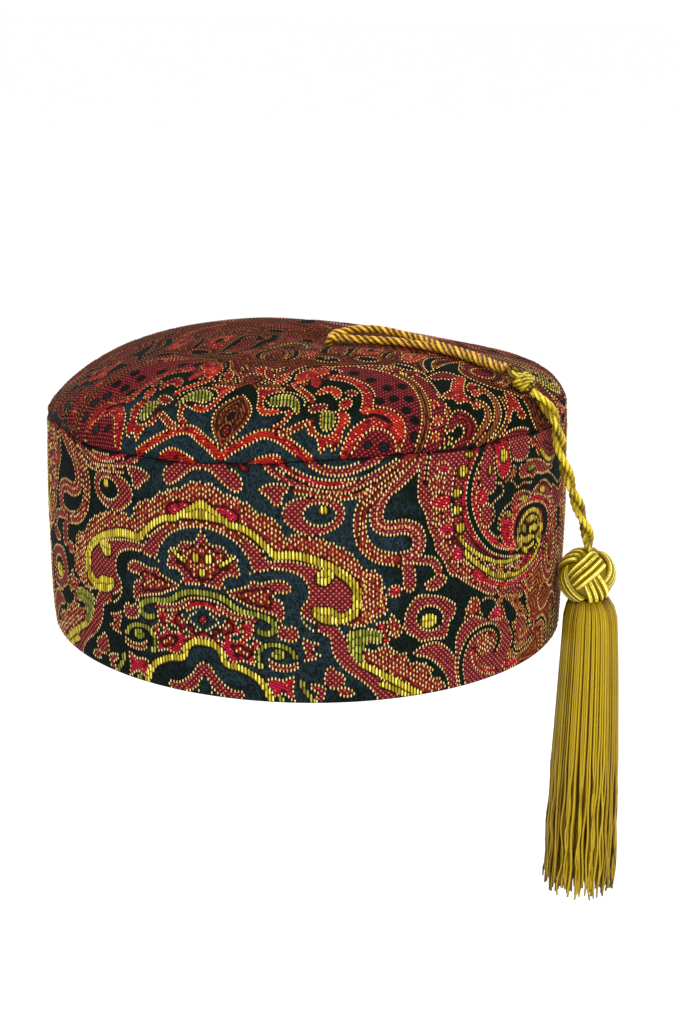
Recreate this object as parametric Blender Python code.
# Round smoking cap of woven cloth with a corded tassel.
# Units are metres, +Z is up, and the cap faces -Y.
# The origin is the middle of the rim, in the plane that the rim lies in, where a head goes in.
# Azimuths are in degrees, 0 at the front and 90 at +X.

import math

import bmesh
import bpy
from mathutils import Vector

# Band: an upright ring of cloth
RIM_WIDTH = 0.190
RIM_DEPTH = 0.1924
SEAM_WIDTH = 0.1896
SEAM_DEPTH = 0.192
SEAM_SHIFT = -0.001
BAND_HEIGHT = 0.082
BAND_BULGE = 0.0007
BAND_WALL = 0.0028

# Crown: a puffed top sewn to the band
CROWN_HEIGHT = 0.0245
CROWN_WALL = 0.0022
FOLD_DEPTH = 0.0035

# Cords
STRAND_DIAMETER = 0.003
PAIR_DIAMETER = 0.005
KNOT_LENGTH = 0.0095
KNOT_WIDTH = 0.0085
KNOT_HEIGHT = 0.0066
KNOT_RIDGE = 0.07

# Tassel
BALL_DIAMETER = 0.0215
TASSEL_AZIMUTH = 70.3
TASSEL_DROP = 0.056
SKIRT_LENGTH = 0.112
NECK_DIAMETER = 0.0172
SKIRT_END_DIAMETER = 0.0255
SKIRT_LEAN = 0.003

# Shares of the skirt's length: where its head starts above the ball's foot, where its core ends,
# and how far the ends of the locks differ
SKIRT_HEAD = -0.042
CORE_END = 0.955
LOCK_UNEVEN = 0.022

# How much wider a lock is than its share of the skirt's round, and its sway in radians
LOCK_FULLNESS = 1.25
LOCK_SWAY = 0.10

# Clearances
SEAM_GAP = 0.0003
REST_GAP = 0.0003
WALL_GAP = 0.0004
KNOT_GAP = 0.0008
BALL_GAP = 0.0011

# Mesh fineness
ROUND_STEPS = 80
LOCK_COUNT = 18
LOCK_SIDES = 7
LOCK_ROWS = 7
BALL_SIDES = 24
BALL_ROWS = 14

# The seam's height round the cap.
# azimuth, share of the band's height added
SEAM_ROWS = [
    (-180, 0.000),
    (-135, -0.010),
    (-92, -0.075),
    (-75, -0.045),
    (-62, -0.030),
    (-52, -0.052),
    (-40, -0.042),
    (-25, -0.032),
    (-10, -0.012),
    (5, 0.012),
    (20, 0.024),
    (33, 0.012),
    (48, 0.020),
    (65, 0.000),
    (90, 0.000),
    (135, 0.010),
]

# The crown's profile round the cap: a rounded shoulder with a dome above it.
# azimuth, shoulder's share of the rise, crispness of the shoulder, fullness of the dome
CROWN_ROWS = [
    (-180, 0.34, 7.0, 1.5),
    (-135, 0.50, 3.6, 1.9),
    (-105, 0.66, 2.4, 2.2),
    (-82, 0.68, 2.0, 2.3),
    (-60, 0.70, 2.8, 2.1),
    (-30, 0.80, 3.6, 2.0),
    (0, 0.80, 4.0, 2.0),
    (35, 0.76, 4.5, 2.0),
    (65, 0.60, 7.0, 1.7),
    (90, 0.45, 12.0, 1.4),
    (135, 0.28, 10.0, 1.2),
]

# Dents and puckers of the crown.
# x and y as shares of the seam's half width and depth, turn in degrees,
# half length and half width as shares of the half width, depth as a share of FOLD_DEPTH
CROWN_FOLDS = [
    (0.080, -0.065, 0, 0.17, 0.12, 1.00),
    (-0.150, -0.240, 4, 0.45, 0.09, 0.45),
    (0.330, -0.200, -12, 0.25, 0.08, 0.25),
    (-0.100, 0.220, 8, 0.35, 0.16, -0.30),
    (-0.620, -0.520, 40, 0.16, 0.07, 0.35),
]

# Soft dents and swells of the band.
# azimuth, share of the height, half angle, half height as a share, outward share of FOLD_DEPTH
BAND_SWELLS = [
    (-58, 0.12, 22, 0.20, 0.35),
    (-50, 0.90, 9, 0.16, -0.30),
    (25, 0.45, 26, 0.30, 0.10),
    (62, 0.80, 12, 0.22, -0.20),
    (-105, 0.60, 22, 0.30, 0.20),
    (160, 0.45, 30, 0.30, 0.15),
]

# Place of the small knot on the crown, as shares of the seam's half width and depth.
KNOT_PLACE = (0.760, -0.446)

# Routes of the two strands over the crown, from the middle to the small knot.
# x and y as shares of the seam's half width and depth,
# lift above resting on the crown as a share of the cord's diameter
BACK_STRAND = [
    (0.090, -0.060, 0.27),
    (0.128, -0.049, 0.60),
    (0.188, -0.034, 0.78),
    (0.264, -0.030, 0.66),
    (0.342, -0.048, 0.36),
    (0.420, -0.096, 0.14),
    (0.498, -0.165, 0.03),
    (0.572, -0.222, 0.03),
    (0.639, -0.290, 0.10),
    (0.690, -0.352, 0.33),
]
FRONT_STRAND = [
    (0.090, -0.104, 0.20),
    (0.128, -0.118, 0.24),
    (0.188, -0.132, 0.14),
    (0.264, -0.142, 0.06),
    (0.340, -0.154, 0.03),
    (0.410, -0.174, 0.03),
    (0.478, -0.204, 0.03),
    (0.546, -0.250, 0.03),
    (0.610, -0.312, 0.10),
    (0.660, -0.376, 0.33),
]

# Route of the doubled cord: first over the crown, with the same columns as above,
# then down the outside of the band.
PAIR_OVER_CROWN = [
    (0.868, -0.480, 0.06),
]
# azimuth from the tassel's, share of the way down from the seam to the ball's top,
# share of the way out from resting on the band to hanging over the ball's middle
PAIR_DOWN_BAND = [
    (-8.0, 0.044, 0.06),
    (-6.9, 0.221, 0.22),
    (-5.4, 0.420, 0.46),
    (-3.6, 0.619, 0.70),
    (-1.6, 0.800, 0.90),
    (-0.3, 0.920, 0.99),
]


def smooth_lookup(rows, azimuth, column):
    """Value of a column at an azimuth, eased between the rows on either side."""
    turned = (azimuth + 180.0) % 360.0 - 180.0
    for index, row in enumerate(rows):
        after = rows[(index + 1) % len(rows)]
        end = after[0] if index + 1 < len(rows) else after[0] + 360.0
        if row[0] <= turned < end:
            share = (turned - row[0]) / (end - row[0])
            eased = share * share * (3.0 - 2.0 * share)
            return row[column] + (after[column] - row[column]) * eased
    return rows[0][column]


def seam_height(azimuth):
    """Height of the seam between band and crown."""
    return BAND_HEIGHT * (1.0 + smooth_lookup(SEAM_ROWS, azimuth, 1))


def bell(distance, reach):
    """A smooth hump that is 1 at its middle and fades out past its reach."""
    return math.exp(-(distance / reach) ** 2)


def band_swell(azimuth, share):
    """Outward shift of the band's wall from its soft dents and swells."""
    total = 0.0
    for row_azimuth, row_share, half_angle, half_height, outward in BAND_SWELLS:
        turn = (azimuth - row_azimuth + 180.0) % 360.0 - 180.0
        total += outward * bell(turn, half_angle) * bell(share - row_share, half_height)
    return total * FOLD_DEPTH


def band_point(azimuth, share, inward=0.0):
    """Point on the band's outside, or inward of it, at a share of its height."""
    half_width = (RIM_WIDTH + (SEAM_WIDTH - RIM_WIDTH) * share) / 2.0
    half_depth = (RIM_DEPTH + (SEAM_DEPTH - RIM_DEPTH) * share) / 2.0
    rounding = math.sin(math.pi * share)
    out = BAND_BULGE * rounding + band_swell(azimuth, share) * rounding ** 0.5 - inward
    angle = math.radians(azimuth)
    return Vector((
        (half_width + out) * math.sin(angle) + SEAM_SHIFT * share,
        -(half_depth + out) * math.cos(angle),
        seam_height(azimuth) * share,
    ))


def crown_fold(x_share, y_share):
    """Height change of the crown from its dents and puckers."""
    total = 0.0
    for row_x, row_y, turn, half_length, half_width, depth in CROWN_FOLDS:
        angle = math.radians(turn)
        across = x_share - row_x
        deep = y_share - row_y
        along = across * math.cos(angle) + deep * math.sin(angle)
        aside = deep * math.cos(angle) - across * math.sin(angle)
        total -= depth * bell(along, half_length) * bell(aside, half_width)
    edge = max(0.0, 1.0 - x_share ** 2 - y_share ** 2)
    return total * FOLD_DEPTH * min(1.0, edge * 4.0)


def crown_point(azimuth, radius_share):
    """Point on the crown's outside; radius_share is 0 in the middle and 1 at the seam."""
    shoulder = smooth_lookup(CROWN_ROWS, azimuth, 1)
    crispness = smooth_lookup(CROWN_ROWS, azimuth, 2)
    fullness = smooth_lookup(CROWN_ROWS, azimuth, 3)
    rise = shoulder * math.sqrt(max(0.0, 1.0 - radius_share ** crispness))
    rise += (1.0 - shoulder) * (1.0 - radius_share ** fullness)
    low = seam_height(azimuth)
    high = BAND_HEIGHT + CROWN_HEIGHT
    angle = math.radians(azimuth)
    x_share = radius_share * math.sin(angle)
    y_share = -radius_share * math.cos(angle)
    return Vector((
        SEAM_WIDTH / 2.0 * x_share + SEAM_SHIFT,
        SEAM_DEPTH / 2.0 * y_share,
        low + (high - low) * rise + crown_fold(x_share, y_share),
    ))


def crown_normal(azimuth, radius_share):
    """Outward direction of the crown's surface."""
    if radius_share < 0.02:
        return Vector((0.0, 0.0, 1.0))
    step = 0.004
    inner = crown_point(azimuth, radius_share - step)
    outer = crown_point(azimuth, min(1.0, radius_share + step))
    left = crown_point(azimuth - 1.0, radius_share)
    right = crown_point(azimuth + 1.0, radius_share)
    return (outer - inner).cross(right - left).normalized()


def over_crown(x_share, y_share, distance):
    """Point at a distance out from the crown's surface."""
    azimuth = math.degrees(math.atan2(x_share, -y_share))
    radius_share = math.hypot(x_share, y_share)
    return crown_point(azimuth, radius_share) + crown_normal(azimuth, radius_share) * distance


def beside_band(azimuth, height, distance):
    """Point at a distance out from the band's surface."""
    return band_point(azimuth, height / BAND_HEIGHT, -distance)


def fabric_material(name, colour, roughness):
    """Plain Principled material of one piece."""
    material = bpy.data.materials.new(name)
    material.use_nodes = True
    shader = material.node_tree.nodes["Principled BSDF"]
    shader.inputs["Base Color"].default_value = (*colour, 1.0)
    shader.inputs["Roughness"].default_value = roughness
    shader.inputs["Metallic"].default_value = 0.0
    return material


def brocade(name):
    """Dark woven cloth with red and gold figures."""
    return fabric_material(name, (0.16, 0.055, 0.035), 0.6)


def gold_cord(name):
    """Golden yellow laid cord."""
    return fabric_material(name, (0.72, 0.46, 0.06), 0.45)


def gold_silk(name):
    """Olive gold thread of the tassel."""
    return fabric_material(name, (0.50, 0.38, 0.04), 0.5)


def add_object(name, bm, material):
    """New object from a bmesh, in world place, shaded smooth."""
    mesh = bpy.data.meshes.new(name)
    bm.to_mesh(mesh)
    bm.free()
    mesh.shade_smooth()
    mesh.set_sharp_from_angle(angle=math.radians(50))
    mesh.materials.append(material)
    item = bpy.data.objects.new(name, mesh)
    bpy.context.collection.objects.link(item)
    return item


def spun(profile, steps, closed):
    """Full turn of a profile of (radius, height) pairs about Z."""
    bm = bmesh.new()
    verts = [bm.verts.new((radius, 0.0, height)) for radius, height in profile]
    edges = [bm.edges.new(pair) for pair in zip(verts, verts[1:])]
    if closed:
        edges.append(bm.edges.new((verts[-1], verts[0])))
    bmesh.ops.spin(
        bm, geom=verts + edges, cent=(0, 0, 0), axis=(0, 0, 1),
        angle=2.0 * math.pi, steps=steps, use_merge=True,
    )
    bmesh.ops.remove_doubles(bm, verts=bm.verts, dist=1e-6)
    bmesh.ops.recalc_face_normals(bm, faces=bm.faces)
    return bm


def azimuth_of(place):
    """Azimuth of a point about the cap's axis."""
    return math.degrees(math.atan2(place.x, -place.y))


def build_side_band():
    """The upright ring wall. The rim's fold is rounded and the top edge follows the seam."""
    # depth into the wall from 0 outside to 1 inside, share of the height
    rows = [
        (0.10, 0.006), (0.00, 0.030), (0.00, 0.120), (0.00, 0.250), (0.00, 0.400), (0.00, 0.550),
        (0.00, 0.700), (0.00, 0.850), (0.00, 1.000), (1.00, 1.000), (1.00, 0.700), (1.00, 0.400),
        (1.00, 0.120), (0.90, 0.006), (0.50, 0.000),
    ]
    bm = spun([(2.0 - depth, share) for depth, share in rows], ROUND_STEPS, True)
    for vert in bm.verts:
        azimuth = azimuth_of(vert.co)
        depth = 2.0 - math.hypot(vert.co.x, vert.co.y)
        place = band_point(azimuth, vert.co.z, depth * BAND_WALL)
        place.z -= SEAM_GAP * vert.co.z
        vert.co = place
    return add_object("side_band", bm, brocade("band_cloth"))


def build_crown():
    """The domed wall. Its lower edge stands on the band's top edge, a seam gap above it."""
    outer = [math.cos(math.radians(a)) for a in (0, 8, 16, 25, 34, 44, 55, 67, 79)]
    inner = [math.cos(math.radians(a)) for a in (73, 56, 40, 26, 13, 0)]
    profile = [(share, 1.0) for share in outer] + [(0.0, 1.0), (0.0, 0.0)]
    profile += [(share, 0.0) for share in inner]
    bm = spun_shell(profile)
    for vert in bm.verts:
        azimuth = azimuth_of(vert.co)
        share = math.hypot(vert.co.x, vert.co.y)
        place = crown_point(azimuth, share)
        if vert.co.z < 0.5:
            if share > 0.999:
                angle = math.radians(azimuth)
                place -= Vector((math.sin(angle), -math.cos(angle), 0.0)) * CROWN_WALL
            else:
                place -= crown_normal(azimuth, share) * CROWN_WALL
        vert.co = place
    return add_object("crown", bm, brocade("crown_cloth"))


def spun_shell(profile):
    """Two stacked discs joined at their edge, one for each side of the crown's wall."""
    split = [index for index, pair in enumerate(profile) if pair[0] == 0.0]
    upper = profile[:split[0] + 1]
    lower = profile[split[1]:]
    return spun(list(reversed(upper)) + list(reversed(lower)), ROUND_STEPS, False)


def smooth_route(points, spacing):
    """Points a spacing apart on a smooth curve through the given ones."""
    ends = [points[0] * 2.0 - points[1]] + points + [points[-1] * 2.0 - points[-2]]
    fine = []
    for before, start, end, after in zip(ends, ends[1:], ends[2:], ends[3:]):
        for step in range(12):
            t = step / 12.0
            bend = (
                start * 2.0
                + (end - before) * t
                + (before * 2.0 - start * 5.0 + end * 4.0 - after) * t * t
                + (start * 3.0 - before - end * 3.0 + after) * t * t * t
            )
            fine.append(bend / 2.0)
    fine.append(points[-1])
    total = sum((b - a).length for a, b in zip(fine, fine[1:]))
    count = max(2, round(total / spacing))
    even = [fine[0]]
    walked = 0.0
    for a, b in zip(fine, fine[1:]):
        length = (b - a).length
        while len(even) < count and walked + length >= total * len(even) / count:
            share = (total * len(even) / count - walked) / length
            even.append(a + (b - a) * share)
        walked += length
    even.append(fine[-1])
    return even


def build_cord(name, route, diameter):
    """A plain tube along a route."""
    curve = bpy.data.curves.new(name, "CURVE")
    curve.dimensions = "3D"
    curve.bevel_depth = diameter / 2.0
    curve.bevel_resolution = 2
    curve.use_fill_caps = True
    spline = curve.splines.new("POLY")
    places = smooth_route(route, diameter * 2.0)
    spline.points.add(len(places) - 1)
    for point, place in zip(spline.points, places):
        point.co = (*place, 1.0)
    curve.materials.append(gold_cord(name + "_thread"))
    item = bpy.data.objects.new(name, curve)
    bpy.context.collection.objects.link(item)
    return item


def crown_route(rows, diameter):
    """Places of a cord that lies on the crown."""
    rest = diameter / 2.0 + REST_GAP
    return [over_crown(x_share, y_share, rest + lift * diameter) for x_share, y_share, lift in rows]


def knot_frame():
    """Middle of the small knot, with the directions along the cord, sideways and up."""
    middle = over_crown(*KNOT_PLACE, KNOT_HEIGHT / 2.0 + REST_GAP)
    back = crown_route(BACK_STRAND, STRAND_DIAMETER)[-1]
    front = crown_route(FRONT_STRAND, STRAND_DIAMETER)[-1]
    leaving = crown_route(PAIR_OVER_CROWN, PAIR_DIAMETER)[0]
    along = (leaving - (back + front) / 2.0).normalized()
    sideways = Vector((0.0, 0.0, 1.0)).cross(along).normalized()
    return middle, along, sideways, along.cross(sideways)


def strand_route(rows, side):
    """Places of one strand. It enters the small knot beside the other one."""
    middle, along, sideways, _ = knot_frame()
    before = middle - along * (KNOT_LENGTH / 2.0 + KNOT_GAP)
    beside = sideways * side * (STRAND_DIAMETER + REST_GAP) / 2.0
    return crown_route(rows, STRAND_DIAMETER) + [before + beside]


def build_cord_knot():
    """A small lump with the wound ridges of an overhand knot."""
    middle, along, sideways, up = knot_frame()
    bm = bmesh.new()
    bmesh.ops.create_uvsphere(bm, u_segments=20, v_segments=10, radius=0.5)
    for vert in bm.verts:
        turn = math.atan2(vert.co.y, vert.co.x)
        away = abs(vert.co.z) * 2.0
        spot = vert.co * (1.0 + KNOT_RIDGE * math.cos(3.0 * turn + 5.0 * vert.co.z) * (1.0 - 0.8 * away))
        vert.co = (
            middle
            + along * spot.z * KNOT_LENGTH
            + sideways * spot.x * KNOT_WIDTH
            + up * spot.y * KNOT_HEIGHT
        )
    return add_object("cord_knot", bm, gold_cord("knot_thread"))


def ball_distance():
    """Distance from the band to the middle of the ball knot, which hangs against the band."""
    return BALL_DIAMETER / 2.0 + WALL_GAP


def ball_centre():
    """Middle of the ball knot."""
    return beside_band(TASSEL_AZIMUTH, BAND_HEIGHT - TASSEL_DROP, ball_distance())


def ball_mesh(radius):
    """A sphere in the ball knot's place."""
    bm = bmesh.new()
    bmesh.ops.create_uvsphere(bm, u_segments=BALL_SIDES, v_segments=BALL_ROWS, radius=radius)
    bmesh.ops.translate(bm, verts=bm.verts, vec=ball_centre())
    return bm


def build_tassel_knot():
    """The round ball knot."""
    bm = ball_mesh(BALL_DIAMETER / 2.0)
    return add_object("tassel_knot", bm, gold_silk("ball_thread"))


def skirt_axis(share):
    """Middle of the skirt at a share of its length, leaning a little away from the band."""
    top = ball_centre()
    out = Vector((top.x, top.y, 0.0)).normalized()
    drop = BALL_DIAMETER / 2.0 + SKIRT_LENGTH * share
    return top + out * SKIRT_LEAN * share - Vector((0.0, 0.0, drop))


def skirt_radius(share):
    """Outer radius of the skirt, wider towards its end."""
    above_end = min(1.0, max(0.0, 1.0 - share))
    spread = 1.0 - above_end ** 1.6
    return (NECK_DIAMETER + (SKIRT_END_DIAMETER - NECK_DIAMETER) * spread) / 2.0


def lock_radius(share):
    """Radius of one lock of thread at a share of the skirt's length."""
    return LOCK_FULLNESS * math.pi * skirt_radius(share) / LOCK_COUNT


def lock_ring(index, share):
    """Places round one lock at a share of the skirt's length."""
    angle = 2.0 * math.pi * index / LOCK_COUNT
    turned = angle + LOCK_SWAY * math.sin(index * 1.7 + share * 3.0) * share
    reach = skirt_radius(share) - lock_radius(share)
    middle = skirt_axis(share) + Vector((math.cos(turned), math.sin(turned), 0.0)) * reach
    turns = [angle + 2.0 * math.pi * side / LOCK_SIDES for side in range(LOCK_SIDES)]
    return [middle + Vector((math.cos(t), math.sin(t), 0.0)) * lock_radius(share) for t in turns]


def build_skirt_locks():
    """The locks of thread round the skirt, each a bent tapering bar with its own end."""
    bm = bmesh.new()
    for index in range(LOCK_COUNT):
        end = 1.0 - LOCK_UNEVEN * (1.0 + math.sin(index * 2.4))
        rings = []
        for row in range(LOCK_ROWS):
            share = SKIRT_HEAD + (end - SKIRT_HEAD) * row / (LOCK_ROWS - 1)
            rings.append([bm.verts.new(place) for place in lock_ring(index, share)])
        for upper, lower in zip(rings, rings[1:]):
            for side in range(LOCK_SIDES):
                after = (side + 1) % LOCK_SIDES
                bm.faces.new((upper[side], upper[after], lower[after], lower[side]))
        bm.faces.new(rings[0])
        bm.faces.new(rings[-1])
    bmesh.ops.recalc_face_normals(bm, faces=bm.faces)
    return as_guide(add_object("skirt_locks", bm, gold_silk("lock_thread")))


def build_skirt_cutter():
    """The ball's round form with its gap, which hollows the skirt's head."""
    bm = ball_mesh(BALL_DIAMETER / 2.0 + REST_GAP)
    return as_guide(add_object("skirt_cutter", bm, gold_silk("cutter_thread")))


def as_guide(item):
    """Keep an object out of renders, because only a Boolean uses it."""
    item.hide_render = True
    item.display_type = "WIRE"
    return item


def boolean(item, other, operation):
    """Exact Boolean of one object with another."""
    modifier = item.modifiers.new(other.name, "BOOLEAN")
    modifier.operation = operation
    modifier.solver = "EXACT"
    modifier.use_self = operation == "UNION"
    modifier.object = other


def build_tassel_skirt():
    """The fringe: a core under the ball, with locks of thread fused to it."""
    shares = [SKIRT_HEAD + (CORE_END - SKIRT_HEAD) * row / LOCK_ROWS for row in range(LOCK_ROWS + 1)]
    profile = [(0.0, shares[0])] + [(1.0, share) for share in shares] + [(0.0, shares[-1])]
    bm = spun(profile, LOCK_COUNT, False)
    for vert in bm.verts:
        share = vert.co.z
        size = skirt_radius(share) - lock_radius(share)
        vert.co = skirt_axis(share) + Vector((vert.co.x, vert.co.y, 0.0)) * size
    bmesh.ops.recalc_face_normals(bm, faces=bm.faces)
    skirt = add_object("tassel_skirt", bm, gold_silk("skirt_thread"))
    boolean(skirt, build_skirt_locks(), "UNION")
    boolean(skirt, build_skirt_cutter(), "DIFFERENCE")
    return skirt


def pair_route():
    """Places of the doubled cord from the knot to the ball's top."""
    middle, along, _, _ = knot_frame()
    start = middle + along * (KNOT_LENGTH / 2.0 + KNOT_GAP)
    over = crown_route(PAIR_OVER_CROWN, PAIR_DIAMETER)
    drop = TASSEL_DROP - BALL_DIAMETER / 2.0
    rest = PAIR_DIAMETER / 2.0 + REST_GAP
    down = []
    for turn, down_share, out_share in PAIR_DOWN_BAND:
        out = rest + (ball_distance() - rest) * out_share
        down.append(beside_band(TASSEL_AZIMUTH + turn, BAND_HEIGHT - drop * down_share, out))
    end = ball_centre() + Vector((0.0, 0.0, BALL_DIAMETER / 2.0 + BALL_GAP))
    return [start] + over + down + [end]


def clear_scene():
    """Start from an empty scene."""
    for item in list(bpy.data.objects):
        bpy.data.objects.remove(item, do_unlink=True)


def main():
    clear_scene()
    build_side_band()
    build_crown()
    build_cord("crown_cord_back", strand_route(BACK_STRAND, 1.0), STRAND_DIAMETER)
    build_cord("crown_cord_front", strand_route(FRONT_STRAND, -1.0), STRAND_DIAMETER)
    build_cord_knot()
    build_cord("hanging_cord", pair_route(), PAIR_DIAMETER)
    build_tassel_knot()
    build_tassel_skirt()


main()
